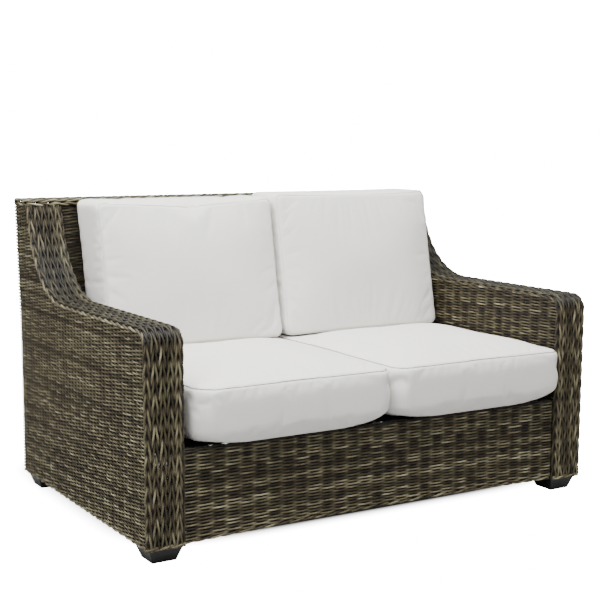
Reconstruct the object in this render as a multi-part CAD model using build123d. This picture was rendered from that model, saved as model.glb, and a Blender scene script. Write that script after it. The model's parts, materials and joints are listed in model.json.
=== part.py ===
from build123d import *
import os
from math import cos, radians, sin, tan

# Patio loveseat: a welded aluminium frame under woven resin skins, on four
# tapered feet, with an interlaced strap deck, two seat cushions and two back
# cushions. Millimetres, +X to the sitter's left, -Y to the front, +Z up.
# The origin is on the floor, midway between the ends and the two faces.

# Overall sizes
WIDTH = 1473.0
FRAME_DEPTH = 965.0
FRAME_HEIGHT = 893.0
ARM_HEIGHT = 611.0
ARM_WIDTH = 112.0
FOOT_HEIGHT = 40.0
DECK_HEIGHT = 291.0

# Side outline of an arm and its wing
ARM_CORNER_RADIUS = 46.0
SWOOP_RISE_SHARE = 0.966
WING_TOP_DEPTH = 120.0
WING_LEAN = 17.0
REAR_RAKE = 25.0
KNEE_HEIGHT = 520.0
KNEE_RADIUS = 900.0

# Woven skins
SKIN = 7.0
CAP_THICKNESS = 18.0
CAP_ROUND = 7.0
APRON_SETBACK = 12.0
APRON_ROUND = 6.0
APRON_LAP = 11.0
APRON_ARCH = 9.0

# Inner back, which the back cushions lean on
BACK_LEAN = 11.0
BACK_TOP_SETBACK = 6.0

# Frame tubes
TUBE = 22.0
RAIL = 25.0
WALL = 2.0
SPREADER = 16.0
REAR_RAIL_DEPTH = 50.0
UPRIGHT_COUNT = 3
STRUT_COUNT = 3
GUSSET_LEG = 70.0
GUSSET_THICKNESS = 4.0
FRONT_SPREADER_SHARES = (0.05, 0.5)
TOP_SPREADER_SHARES = (0.14, 0.55, 0.95)
WING_SPREADER_SHARE = 0.75
REAR_SPREADER_SHARES = (0.02, 0.45, 0.97)
FLOOR_SPREADER_SHARE = 0.5

# Feet
FOOT_TOP = 96.0
FOOT_SOLE = 68.0
FOOT_CENTRE = 61.0
FOOT_PLATE = 5.0
FOOT_PLATE_MARGIN = 2.0
SCREW_RADIUS = 4.0
SCREW_HEAD_RADIUS = 8.0
SCREW_HEAD_HEIGHT = 5.0
SCREW_END = 6.0
COUNTERBORE_DEPTH = 12.0
COUNTERBORE_CLEARANCE = 1.5
SCREW_CLEARANCE = 0.4
THREAD_CLEARANCE = 0.05
SOCKET_RADIUS = 2.5
SOCKET_DEPTH = 3.0

# Strap deck
STRAP_WIDTH = 50.0
STRAP = 2.5
STRAP_MARGIN = 3.0
LENGTHWISE_COUNT = 10
CROSSWISE_COUNT = 6
CLIP_LENGTH = 10.0
CLIP_THICKNESS = 1.5
CLIP_EDGE = 3.0

# Cushions
CUSHION_OVERHANG = 24.0
CUSHION_GAP = 3.0
REST_CLEARANCE = 0.3
COVER = 3.0
EDGE_ROUND = 34.0
CUSHION_CORNER = 42.0
SIDE_DRAW = 5.0
SEAT_BOXING = 158.0
SEAT_CROWN = 36.0
SEAT_SHELF = 150.0
BACK_CUSHION_GAP = 10.0
BACK_CUSHION_SIDE_GAP = 23.5
BACK_CUSHION_RISE = 11.3
BACK_BOXING = 172.0
BACK_FRONT_CROWN = 32.0
BACK_REAR_CROWN = 12.0
BOXING_SHARES = ((0.0, 1.0), (0.04, 0.42), (0.13, 0.1), (0.44, 0.0), (0.56, 0.0), (0.9, 0.05), (1.0, 0.18))
SOFT_BOXING_SHARES = ((0.0, 0.2), (0.1, 0.06), (0.44, 0.0), (0.56, 0.0), (0.9, 0.06), (1.0, 0.2))
CROWN_SHARES = ((0.1, 0.06), (0.45, 0.24), (0.8, 0.58), (1.0, 1.0))
SEAT_CROWN_RUN_SHARE = 0.31
BACK_CROWN_RUN_SHARE = 0.37
CORNER_LIMIT_SHARE = 0.45
ZIP_WIDTH = 8.0
ZIP_THICKNESS = 1.5
ZIP_LENGTH = 420.0
PULL_WIDTH = 6.0
PULL_LENGTH = 14.0
PULL_THICKNESS = 1.0

# Places that follow from the sizes above
FRONT_Y = (CUSHION_OVERHANG - FRAME_DEPTH) / 2
REAR_Y = FRONT_Y + FRAME_DEPTH
LEFT_X = -WIDTH / 2
CAP_Z = FRAME_HEIGHT - CAP_THICKNESS
RAIL_TOP = DECK_HEIGHT - SKIN
INNER_X = WIDTH / 2 - ARM_WIDTH
RAIL_END_X = INNER_X + SKIN
FRAME_FLOOR = FOOT_HEIGHT + FOOT_PLATE
APRON_Y = FRONT_Y + APRON_SETBACK
FRONT_RAIL_Y = APRON_Y + SKIN
WING_SLOPE = tan(radians(WING_LEAN))
WING_SPREAD = 1 / cos(radians(WING_LEAN))
BACK_SLOPE = tan(radians(BACK_LEAN))
BACK_SPREAD = 1 / cos(radians(BACK_LEAN))
REAR_SLOPE = REAR_RAKE / (FRAME_HEIGHT - KNEE_HEIGHT)
SWOOP_RADIUS = (CAP_Z - ARM_HEIGHT) * SWOOP_RISE_SHARE
SEAT_SEAM_Z = DECK_HEIGHT + REST_CLEARANCE + SEAT_BOXING
SEAT_SHELF_Z = SEAT_SEAM_Z + SEAT_CROWN * CROWN_SHARES[0][0]


# Sloping lines of the side outline: each gives Y at a height

def wing_y(z, inset=0):
    return REAR_Y - WING_TOP_DEPTH - (FRAME_HEIGHT - z) * WING_SLOPE + inset * WING_SPREAD


def rear_y(z, inset=0):
    return REAR_Y - (FRAME_HEIGHT - max(z, KNEE_HEIGHT)) * REAR_SLOPE - inset


def back_y(z, inset=0):
    top_y = REAR_Y - WING_TOP_DEPTH + BACK_TOP_SETBACK
    return top_y - (FRAME_HEIGHT - z) * BACK_SLOPE + inset * BACK_SPREAD


# Building helpers

def bar(x, y, z):
    """Block between pairs of low and high places."""
    spans = (x, y, z)
    size = [high - low for low, high in spans]
    centre = [(high + low) / 2 for low, high in spans]
    return Pos(*centre) * Box(*size)


def tube(x, y, z, along):
    """Square tube, open at both ends, that runs along the named axis."""
    spans = {"x": x, "y": y, "z": z}
    bore = [span if axis == along else (span[0] + WALL, span[1] - WALL) for axis, span in spans.items()]
    return bar(x, y, z) - bar(*bore)


def rounded(points, radii):
    """Flat outline through points, each corner rounded by its own radius."""
    outline = make_face(Polyline(*points, close=True))
    for point, radius in zip(points, radii):
        if radius > 0:
            corner = outline.vertices().sort_by_distance((point[0], point[1], 0))[0]
            outline = fillet(corner, radius)
    return outline


def slab(outline, x, thickness):
    """Side outline, drawn as Y and Z, given a thickness from x."""
    return extrude(Plane.YZ.offset(x) * outline, thickness)


def arched(half, low, high):
    """Front drawing, as X and Z, of what lies between two edges arched like the apron's foot."""
    return make_face([
        ThreePointArc((-half, low), (0, low + APRON_ARCH), (half, low)),
        Line((half, low), (half, high)),
        ThreePointArc((half, high), (0, high + APRON_ARCH), (-half, high)),
        Line((-half, high), (-half, low)),
    ])


def front_slab(outline, y, thickness):
    """Front drawing, as X and Z, given a thickness back from y."""
    return extrude(Plane.XZ.offset(-y) * outline, -thickness)


def pair(shape):
    """A piece of the left arm and its mirror image on the right."""
    return shape, mirror(shape, about=Plane.YZ)


def spread(low, high, count):
    """Centres of count equal bays between two places."""
    bay = (high - low) / count
    return [low + bay * (index + 1 / 2) for index in range(count)]


def between(low, high, count):
    """Places that divide a span into one bay more than their count."""
    bay = (high - low) / (count + 1)
    return [low + bay * (index + 1) for index in range(count)]


def side_outline(front=0, rear=0, top=0, bottom=0):
    """Outline of an arm and wing, drawn in by an amount on each side."""
    low = FOOT_HEIGHT + bottom
    arm = ARM_HEIGHT - front
    high = CAP_Z - top
    points = (
        (FRONT_Y + front, low),
        (FRONT_Y + front, arm),
        (wing_y(arm, front), arm),
        (wing_y(high, front), high),
        (rear_y(high, rear), high),
        (rear_y(KNEE_HEIGHT, rear), KNEE_HEIGHT),
        (rear_y(low, rear), low),
    )
    radii = (0, ARM_CORNER_RADIUS - front, SWOOP_RADIUS + front, 0, 0, KNEE_RADIUS + rear, 0)
    return rounded(points, radii)


def height_band(low, high):
    """Everything on a side drawing between two heights."""
    return Pos(0, (low + high) / 2) * Rectangle(FRAME_DEPTH * 2, high - low)


def rear_strip(start, end, low, high):
    """Part of a side drawing that runs up just inside the rear face."""
    return (side_outline(rear=start) - side_outline(rear=end)) & height_band(low, high)


def back_strip(start, end, low, high):
    """Part of a side drawing that runs up just behind the inner back's face."""
    return make_face(Polyline(
        (back_y(low, start), low),
        (back_y(high, start), high),
        (back_y(high, end), high),
        (back_y(low, end), low),
        close=True,
    ))


# Arms

def arm_frame(x):
    """Closed loop of bent square tube that follows the side outline."""
    def loop(near, far):
        outer = side_outline(SKIN + near, SKIN + near, near, FOOT_PLATE + near)
        inner = side_outline(SKIN + far, SKIN + far, far, FOOT_PLATE + far)
        return outer - inner
    body = slab(loop(0, TUBE), x, TUBE)
    hollow = slab(loop(WALL, TUBE - WALL), x + WALL, TUBE - WALL * 2)
    return body - hollow


def arm_spreaders():
    """Short tubes that hold the two loops of an arm apart."""
    inset = SKIN + TUBE / 2
    post_y = FRONT_Y + inset
    arm_z = ARM_HEIGHT - inset
    floor_z = FRAME_FLOOR + TUBE / 2
    swoop_y = wing_y(ARM_HEIGHT) - SWOOP_RADIUS
    high_z = CAP_Z - TUBE / 2
    wing_z = ARM_HEIGHT + (CAP_Z - ARM_HEIGHT) * WING_SPREADER_SHARE
    places = [(post_y, floor_z + (arm_z - floor_z) * share) for share in FRONT_SPREADER_SHARES]
    places += [(FRONT_Y + (swoop_y - FRONT_Y) * share, arm_z) for share in TOP_SPREADER_SHARES]
    places += [(wing_y(wing_z, inset), wing_z)]
    rear_heights = [floor_z + (high_z - floor_z) * share for share in REAR_SPREADER_SHARES]
    places += [(rear_y(z, inset), z) for z in rear_heights]
    places += [(FRONT_Y + FRAME_DEPTH * FLOOR_SPREADER_SHARE, floor_z)]
    x = (LEFT_X + SKIN + TUBE, LEFT_X + ARM_WIDTH - SKIN - TUBE)
    half = SPREADER / 2
    return Compound([tube(x, (y - half, y + half), (z - half, z + half), "x") for y, z in places])


def arm_seat_rails():
    """Level tubes across the inner loops, which carry the seat frame."""
    y = (FRONT_Y + SKIN + TUBE, rear_y(RAIL_TOP, SKIN + TUBE))
    rail = tube((-RAIL_END_X - TUBE, -RAIL_END_X), y, (RAIL_TOP - TUBE, RAIL_TOP), "y")
    return Compound(list(pair(rail)))


# Back frame

def upright_places():
    return between(-INNER_X, INNER_X, UPRIGHT_COUNT)


def back_top_rails():
    """Two tubes along the top of the back, joined to the inner loops."""
    low = CAP_Z - TUBE
    rails = []
    for strip in (back_strip, rear_strip):
        outer = strip(SKIN, SKIN + TUBE, low, CAP_Z)
        bore = strip(SKIN + WALL, SKIN + TUBE - WALL, low + WALL, CAP_Z - WALL)
        rails.append(slab(outer - bore, -RAIL_END_X, RAIL_END_X * 2))
    return Compound(rails)


def back_bottom_rail():
    y = rear_y(FOOT_HEIGHT, SKIN)
    return tube((-RAIL_END_X, RAIL_END_X), (y - TUBE, y), (FRAME_FLOOR, FRAME_FLOOR + TUBE), "x")


def back_rear_uprights():
    """Bent tubes up the rear face, between the bottom and top rails."""
    low, high = FRAME_FLOOR + TUBE, CAP_Z - TUBE
    outer = rear_strip(SKIN, SKIN + TUBE, low, high)
    bore = rear_strip(SKIN + WALL, SKIN + TUBE - WALL, low, high)
    uprights = []
    for x in upright_places():
        left = x - TUBE / 2
        uprights.append(slab(outer, left, TUBE) - slab(bore, left + WALL, TUBE - WALL * 2))
    return Compound(uprights)


def back_front_uprights():
    """Leaning tubes behind the inner back, from the seat frame to the top."""
    low, high = RAIL_TOP, CAP_Z - TUBE
    outer = back_strip(SKIN, SKIN + TUBE, low, high)
    bore = back_strip(SKIN + WALL, SKIN + TUBE - WALL, low, high)
    uprights = []
    for x in upright_places():
        left = x - TUBE / 2
        uprights.append(slab(outer, left, TUBE) - slab(bore, left + WALL, TUBE - WALL * 2))
    return Compound(uprights)


def rear_rail_span():
    """Depth of the seat's rear rail, which carries skin, uprights and straps."""
    high = back_y(RAIL_TOP, SKIN + TUBE)
    return high - REAR_RAIL_DEPTH, high


def back_ties():
    """Short tubes from the seat's rear rail to the rear uprights."""
    y = (rear_rail_span()[1], rear_y(RAIL_TOP, SKIN + TUBE))
    half = TUBE / 2
    z = (RAIL_TOP - TUBE, RAIL_TOP)
    return Compound([tube((x - half, x + half), y, z, "y") for x in upright_places()])


# Seat frame

def seat_front_rail():
    y = (FRONT_RAIL_Y, FRONT_RAIL_Y + RAIL)
    return tube((-RAIL_END_X, RAIL_END_X), y, (RAIL_TOP - RAIL, RAIL_TOP), "x")


def seat_rear_rail():
    return tube((-RAIL_END_X, RAIL_END_X), rear_rail_span(), (RAIL_TOP - RAIL, RAIL_TOP), "x")


def seat_inner_span():
    return FRONT_RAIL_Y + RAIL, rear_rail_span()[0]


def seat_side_rails():
    z = (RAIL_TOP - RAIL, RAIL_TOP)
    rail = tube((-RAIL_END_X, -RAIL_END_X + RAIL), seat_inner_span(), z, "y")
    return Compound(list(pair(rail)))


def seat_centre_bar():
    z = (RAIL_TOP - RAIL, RAIL_TOP)
    return tube((-RAIL / 2, RAIL / 2), seat_inner_span(), z, "y")


def apron_bottom_rail():
    """Tube bent to the arch of the apron's foot."""
    low, high = FRAME_FLOOR, FRAME_FLOOR + TUBE
    rail = front_slab(arched(RAIL_END_X, low, high), FRONT_RAIL_Y, TUBE)
    bore = arched(RAIL_END_X, low + WALL, high - WALL)
    return rail - front_slab(bore, FRONT_RAIL_Y + WALL, TUBE - WALL * 2)


def apron_struts():
    """Posts between the arched rail and the seat's front rail."""
    y = (FRONT_RAIL_Y, FRONT_RAIL_Y + TUBE)
    low, high = FRAME_FLOOR + TUBE, RAIL_TOP - RAIL
    half = TUBE / 2
    places = between(-RAIL_END_X, RAIL_END_X, STRUT_COUNT)
    posts = [tube((x - half, x + half), y, (low, high), "z") for x in places]
    above = front_slab(arched(RAIL_END_X, low, high), FRONT_RAIL_Y, TUBE)
    return Compound([post & above for post in posts])


def seat_gussets():
    """Triangular plates under the four corners of the seat frame."""
    low = RAIL_TOP - RAIL - GUSSET_THICKNESS
    front, rear = seat_inner_span()
    corner_x = -RAIL_END_X + RAIL

    def gusset(y, inward):
        return extrude(Plane.XY.offset(low) * make_face(Polyline(
            (corner_x - RAIL, y - inward * RAIL),
            (corner_x + GUSSET_LEG, y - inward * RAIL),
            (corner_x + GUSSET_LEG, y),
            (corner_x, y + inward * GUSSET_LEG),
            (corner_x - RAIL, y + inward * GUSSET_LEG),
            close=True,
        )), GUSSET_THICKNESS)
    return Compound([*pair(gusset(front, 1)), *pair(gusset(rear, -1))])


# Feet

def foot_places():
    """Centres of the feet, named by the corner that each one stands under."""
    x = -LEFT_X - FOOT_CENTRE
    front = FRONT_Y + FOOT_CENTRE
    rear = rear_y(FOOT_HEIGHT) - FOOT_CENTRE
    return {
        "front_left": (-x, front),
        "front_right": (x, front),
        "rear_left": (-x, rear),
        "rear_right": (x, rear),
    }


def upright_rod(x, y, radius, low, high):
    return Pos(x, y, (low + high) / 2) * Cylinder(radius, high - low)


def foot(x, y):
    """Tapered block, bored for its screw from a counterbore in the sole."""
    block = loft([
        Pos(x, y, 0) * Rectangle(FOOT_SOLE, FOOT_SOLE),
        Pos(x, y, FOOT_HEIGHT) * Rectangle(FOOT_TOP, FOOT_TOP),
    ], ruled=True)
    bore = upright_rod(x, y, SCREW_RADIUS + SCREW_CLEARANCE, 0, FOOT_HEIGHT)
    recess = upright_rod(x, y, SCREW_HEAD_RADIUS + COUNTERBORE_CLEARANCE, 0, COUNTERBORE_DEPTH)
    return block - bore - recess


def foot_screws():
    """Socket-head screws that pull the feet up to their plates."""
    screws = []
    for x, y in foot_places().values():
        low = COUNTERBORE_DEPTH - SCREW_HEAD_HEIGHT
        head = upright_rod(x, y, SCREW_HEAD_RADIUS, low, COUNTERBORE_DEPTH)
        shank = upright_rod(x, y, SCREW_RADIUS, COUNTERBORE_DEPTH, FRAME_FLOOR + SCREW_END)
        socket = Pos(x, y, low) * extrude(RegularPolygon(SOCKET_RADIUS, side_count=6), SOCKET_DEPTH)
        screws.append(head + shank - socket)
    return Compound(screws)


def foot_plates():
    """Threaded plates under the arm frames, one over each foot."""
    inset = SKIN + FOOT_PLATE_MARGIN
    outer = WIDTH / 2 - inset
    inner = WIDTH / 2 - ARM_WIDTH + inset
    length = ARM_WIDTH - inset * 2
    front = FRONT_Y + inset
    rear = rear_y(FOOT_HEIGHT) - inset - length
    plates = []
    for name, (x, y) in foot_places().items():
        low_y = front if name.startswith("front") else rear
        side = (inner, outer) if x > 0 else (-outer, -inner)
        plate = bar(side, (low_y, low_y + length), (FOOT_HEIGHT, FRAME_FLOOR))
        thread = upright_rod(x, y, SCREW_RADIUS + THREAD_CLEARANCE, FOOT_HEIGHT, FRAME_FLOOR)
        plates.append(plate - thread)
    return Compound(plates)


# Strap deck

def strap_outline(start, end, crossings, first_is_up):
    """Edge view of one strap that passes over and under the others."""
    reach = STRAP_WIDTH / 2 + STRAP_MARGIN
    top = [(start, RAIL_TOP + STRAP), (start + CLIP_LENGTH, RAIL_TOP + STRAP)]
    for index, place in enumerate(crossings):
        is_up = (index % 2 == 0) == first_is_up
        level = RAIL_TOP + STRAP * (2 if is_up else 1)
        top += [(place - reach, level), (place + reach, level)]
    top += [(end - CLIP_LENGTH, RAIL_TOP + STRAP), (end, RAIL_TOP + STRAP)]
    underside = [(along, level - STRAP) for along, level in reversed(top)]
    return make_face(Polyline(*top, *underside, close=True))


def deck_spans():
    """How far the straps run, in X and in Y, on the rails' tops."""
    x = INNER_X - REST_CLEARANCE
    front = FRONT_RAIL_Y + APRON_LAP + REST_CLEARANCE
    rear = back_y(RAIL_TOP) - REST_CLEARANCE
    return (-x, x), (front, rear)


def strap_places():
    """Centre lines of the two sets of straps."""
    (left, right), (front, rear) = deck_spans()
    return spread(left, right, LENGTHWISE_COUNT), spread(front, rear, CROSSWISE_COUNT)


def seat_straps_lengthwise():
    lines, crossings = strap_places()
    start, end = deck_spans()[1]
    straps = []
    for index, x in enumerate(lines):
        outline = strap_outline(start, end, crossings, index % 2 == 0)
        straps.append(slab(outline, x - STRAP_WIDTH / 2, STRAP_WIDTH))
    return Compound(straps)


def seat_straps_crosswise():
    crossings, lines = strap_places()
    start, end = deck_spans()[0]
    straps = []
    for index, y in enumerate(lines):
        outline = strap_outline(start, end, crossings, index % 2 == 1)
        side = Plane.XZ.offset(-y - STRAP_WIDTH / 2)
        straps.append(extrude(side * outline, STRAP_WIDTH))
    return Compound(straps)


def strap_clips():
    """Plates that hold the strap ends down on the rails."""
    lines_x, lines_y = strap_places()
    (left, right), (front, rear) = deck_spans()
    half = STRAP_WIDTH / 2 - CLIP_EDGE
    z = (RAIL_TOP + STRAP, RAIL_TOP + STRAP + CLIP_THICKNESS)
    clips = []
    for x in lines_x:
        clips.append(bar((x - half, x + half), (front, front + CLIP_LENGTH), z))
        clips.append(bar((x - half, x + half), (rear - CLIP_LENGTH, rear), z))
    for y in lines_y:
        clips.append(bar((left, left + CLIP_LENGTH), (y - half, y + half), z))
        clips.append(bar((right - CLIP_LENGTH, right), (y - half, y + half), z))
    return Compound(clips)


# Woven skins

def side_outer_skin():
    return slab(side_outline(front=SKIN, rear=SKIN), LEFT_X, SKIN)


def side_inner_skin():
    """Inner face of an arm, from the seat frame to the wing and inner back."""
    region = make_face(Polyline(
        (FRONT_Y, RAIL_TOP),
        (back_y(RAIL_TOP, SKIN), RAIL_TOP),
        (back_y(CAP_Z, SKIN), CAP_Z),
        (FRONT_Y, CAP_Z),
        close=True,
    ))
    return slab(side_outline(front=SKIN) & region, -RAIL_END_X, SKIN)


def arm_band_skin():
    """Band up the arm's front, over its top and up the wing's front edge."""
    return slab(side_outline() - side_outline(front=SKIN), LEFT_X, ARM_WIDTH)


def apron_skin():
    """Front panel between the arms, rolled over the seat's front rail, with an arched foot."""
    lap = FRONT_RAIL_Y + APRON_LAP
    outline = rounded((
        (APRON_Y, FOOT_HEIGHT),
        (APRON_Y, DECK_HEIGHT),
        (lap, DECK_HEIGHT),
        (lap, RAIL_TOP),
        (FRONT_RAIL_Y, RAIL_TOP),
        (FRONT_RAIL_Y, FOOT_HEIGHT),
    ), (0, APRON_ROUND, 0, 0, 0, 0))
    above = front_slab(arched(INNER_X, FOOT_HEIGHT, DECK_HEIGHT), APRON_Y, lap - APRON_Y)
    return slab(outline, -INNER_X, INNER_X * 2) & above


def back_front_skin():
    return slab(back_strip(0, SKIN, RAIL_TOP, CAP_Z), -INNER_X, INNER_X * 2)


def back_rear_skin():
    return slab(rear_strip(0, SKIN, FOOT_HEIGHT, CAP_Z), LEFT_X, WIDTH)


def top_braid():
    """Braided border along the whole top of the back and both wings."""
    outline = rounded((
        (wing_y(CAP_Z), CAP_Z),
        (wing_y(FRAME_HEIGHT), FRAME_HEIGHT),
        (REAR_Y, FRAME_HEIGHT),
        (rear_y(CAP_Z), CAP_Z),
    ), (0, CAP_ROUND, CAP_ROUND, 0))
    return slab(outline, LEFT_X, WIDTH)


# Cushions

def bow(start, end, draw):
    """Edge of an outline, whose middle is drawn in to its left."""
    if draw == 0:
        return Line(start, end)
    run = Vector(*end) - Vector(*start)
    middle = (Vector(*start) + Vector(*end)) / 2
    inward = Vector(-run.Y, run.X).normalized()
    return ThreePointArc(start, middle + inward * draw, end)


def pad_outline(width, length, side, low, high, draw_low, draw_high):
    """Rounded outline of a pad, whose edges bow in between its corners."""
    right = width / 2 - side
    bottom, top = low - length / 2, length / 2 - high
    r = min(CUSHION_CORNER, min(right * 2, top - bottom) * CORNER_LIMIT_SHARE)
    bulge = r * (1 - cos(radians(45)))
    corners = ((right, bottom, -1, 1), (right, top, -1, -1), (-right, top, 1, -1), (-right, bottom, 1, 1))
    draws = (SIDE_DRAW, draw_high, SIDE_DRAW, draw_low)
    edges = []
    for index, (x, y, in_x, in_y) in enumerate(corners):
        along_x, along_y = (x + in_x * r, y), (x, y + in_y * r)
        start, end = (along_x, along_y) if index % 2 == 0 else (along_y, along_x)
        edges.append(ThreePointArc(start, (x + in_x * bulge, y + in_y * bulge), end))
        x, y, in_x, in_y = corners[(index + 1) % len(corners)]
        follow = (x, y + in_y * r) if index % 2 == 0 else (x + in_x * r, y)
        edges.append(bow(end, follow, draws[index]))
    return make_face(edges)


def pad_layers(boxing, boxing_shares, crown, rear_crown, run, shelf):
    """Rise, side inset and far inset of each layer, from one face to the other."""
    seam = EDGE_ROUND * boxing_shares[0][1]
    layers = [(rear_crown * (1 - rise), seam + run * reach, 0) for rise, reach in reversed(CROWN_SHARES)]
    if rear_crown == 0:
        layers = []
    layers += [(rear_crown + boxing * rise, EDGE_ROUND * draw, 0) for rise, draw in boxing_shares]
    seam = EDGE_ROUND * boxing_shares[-1][1]
    base = rear_crown + boxing
    layers += [(base + crown * rise, seam + run * reach, shelf) for rise, reach in CROWN_SHARES]
    return layers


def pad(place, width, length, layers, draws, inner=0):
    """Pad lofted through its layers, drawn in all round by an inner amount."""
    depth = layers[-1][0]
    squeeze = (depth - inner * 2) / depth
    sections = []
    for rise, inset, shelf in layers:
        outline = pad_outline(width - inner * 2, length - inner * 2, inset, inset, inset + shelf, *draws)
        sections.append(place(inner + rise * squeeze) * outline)
    return loft(sections, ruled=True)


def zip_strip(x, y, z, pull_y, pull_z):
    """Zip's tape with its pull lying in line past one end."""
    end = x[1] + PULL_LENGTH
    return bar(x, y, z) + bar((x[1], end), pull_y, pull_z)


def centred(middle, size):
    return middle - size / 2, middle + size / 2


def seat_cushion(side):
    """Cover, core and zip of the seat cushion on one side."""
    width = INNER_X - CUSHION_GAP * 3 / 2
    front = FRONT_Y - CUSHION_OVERHANG
    rear = back_y(DECK_HEIGHT) - REST_CLEARANCE
    base = DECK_HEIGHT + REST_CLEARANCE
    x = side * (CUSHION_GAP + width) / 2
    run = min(width, rear - front - SEAT_SHELF) * SEAT_CROWN_RUN_SHARE
    layers = pad_layers(SEAT_BOXING, BOXING_SHARES, SEAT_CROWN, 0, run, SEAT_SHELF)
    draws = (SIDE_DRAW, 0)

    def place(rise):
        return Pos(x, (front + rear) / 2, base + rise)
    core = pad(place, width, rear - front, layers, draws, COVER)
    cover = pad(place, width, rear - front, layers, draws) - core
    z = base + SEAT_BOXING / 2
    zip_piece = zip_strip(
        centred(x, ZIP_LENGTH),
        (rear, rear + ZIP_THICKNESS),
        centred(z, ZIP_WIDTH),
        (rear, rear + PULL_THICKNESS),
        centred(z, PULL_WIDTH),
    )
    return cover, core, zip_piece


def back_cushion(side):
    """Cover, core and zip of the back cushion on one side."""
    width = INNER_X - BACK_CUSHION_GAP / 2 - BACK_CUSHION_SIDE_GAP
    x = side * (BACK_CUSHION_GAP + width) / 2
    base = SEAT_SHELF_Z + ZIP_THICKNESS + REST_CLEARANCE
    top = FRAME_HEIGHT + BACK_CUSHION_RISE
    z = (base + top) / 2
    height = (top - base) * BACK_SPREAD
    run = min(width, height) * BACK_CROWN_RUN_SHARE
    layers = pad_layers(BACK_BOXING, SOFT_BOXING_SHARES, BACK_FRONT_CROWN, BACK_REAR_CROWN, run, 0)
    draws = (0, SIDE_DRAW)
    lean = radians(BACK_LEAN)

    def place(rise):
        y = back_y(z) - (REST_CLEARANCE + rise) * BACK_SPREAD
        return Plane(origin=(x, y, z), x_dir=(1, 0, 0), z_dir=(0, -cos(lean), sin(lean)))
    core = pad(place, width, height, layers, draws, COVER)
    cover = pad(place, width, height, layers, draws) - core
    y = back_y(base) - (REST_CLEARANCE + BACK_REAR_CROWN + BACK_BOXING / 2) * BACK_SPREAD
    zip_piece = zip_strip(
        centred(x, ZIP_LENGTH),
        centred(y, ZIP_WIDTH),
        (base - ZIP_THICKNESS, base),
        centred(y, PULL_WIDTH),
        (base - PULL_THICKNESS, base),
    )
    return cover, core, zip_piece


# All pieces by node name

def pieces():
    named = {
        "arm_seat_rails": arm_seat_rails(),
        "back_top_rails": back_top_rails(),
        "back_bottom_rail": back_bottom_rail(),
        "back_rear_uprights": back_rear_uprights(),
        "back_front_uprights": back_front_uprights(),
        "back_ties": back_ties(),
        "seat_front_rail": seat_front_rail(),
        "seat_rear_rail": seat_rear_rail(),
        "seat_side_rails": seat_side_rails(),
        "seat_centre_bar": seat_centre_bar(),
        "seat_gussets": seat_gussets(),
        "apron_bottom_rail": apron_bottom_rail(),
        "apron_struts": apron_struts(),
        "foot_plates": foot_plates(),
        "foot_screws": foot_screws(),
        "seat_straps_lengthwise": seat_straps_lengthwise(),
        "seat_straps_crosswise": seat_straps_crosswise(),
        "strap_clips": strap_clips(),
        "apron_skin": apron_skin(),
        "back_front_skin": back_front_skin(),
        "back_rear_skin": back_rear_skin(),
        "top_braid": top_braid(),
    }
    arm_pieces = {
        "arm_frame_outer": arm_frame(LEFT_X + SKIN),
        "arm_frame_inner": arm_frame(LEFT_X + ARM_WIDTH - SKIN - TUBE),
        "arm_spreaders": arm_spreaders(),
        "side_outer_skin": side_outer_skin(),
        "side_inner_skin": side_inner_skin(),
        "arm_band_skin": arm_band_skin(),
    }
    for name, shape in arm_pieces.items():
        named[name + "_left"], named[name + "_right"] = pair(shape)
    for name, (x, y) in foot_places().items():
        named["foot_" + name] = foot(x, y)
    for end, side in (("left", -1), ("right", 1)):
        for kind, cushion in (("seat_cushion", seat_cushion(side)), ("back_cushion", back_cushion(side))):
            for layer, shape in zip(("cover", "core", "zip"), cushion):
                named[f"{kind}_{end}_{layer}"] = shape
    return named


os.makedirs("parts", exist_ok=True)
for name, shape in pieces().items():
    export_step(shape, f"parts/{name}.step")
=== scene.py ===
import json
from dataclasses import dataclass
from math import cos, pi, radians, sin, tan

import bmesh
import bpy
import numpy as np
from mathutils import Matrix, Vector
from mathutils.kdtree import KDTree


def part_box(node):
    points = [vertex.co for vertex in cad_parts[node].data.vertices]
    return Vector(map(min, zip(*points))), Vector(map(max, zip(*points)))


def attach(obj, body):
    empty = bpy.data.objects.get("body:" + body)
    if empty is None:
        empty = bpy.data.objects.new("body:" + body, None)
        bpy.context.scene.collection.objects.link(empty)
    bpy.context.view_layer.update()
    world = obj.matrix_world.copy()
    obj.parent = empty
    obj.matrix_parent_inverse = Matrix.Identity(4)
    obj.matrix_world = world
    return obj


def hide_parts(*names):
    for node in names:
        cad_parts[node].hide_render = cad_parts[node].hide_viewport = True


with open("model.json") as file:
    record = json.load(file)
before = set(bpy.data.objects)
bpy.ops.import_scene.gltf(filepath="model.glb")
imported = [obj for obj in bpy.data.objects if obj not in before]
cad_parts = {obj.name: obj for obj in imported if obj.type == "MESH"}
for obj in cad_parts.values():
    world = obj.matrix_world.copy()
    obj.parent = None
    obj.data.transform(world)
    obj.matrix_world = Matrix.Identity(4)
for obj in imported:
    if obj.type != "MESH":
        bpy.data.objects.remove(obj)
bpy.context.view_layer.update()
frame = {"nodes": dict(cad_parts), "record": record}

# Places read from the frame
BAND_LOW, BAND_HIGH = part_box("arm_band_skin_left")
CAP_LOW, CAP_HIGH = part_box("top_braid")
APRON_LOW, APRON_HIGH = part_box("apron_skin")
INNER_LOW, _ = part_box("side_inner_skin_left")
BACK_LOW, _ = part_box("back_front_skin")
OUTER_X = -BAND_LOW.x
INNER_X = -BAND_HIGH.x
FRONT_Y = BAND_LOW.y
REAR_Y = CAP_HIGH.y
FOOT_Z = BAND_LOW.z
CAP_Z = CAP_LOW.z

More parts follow.
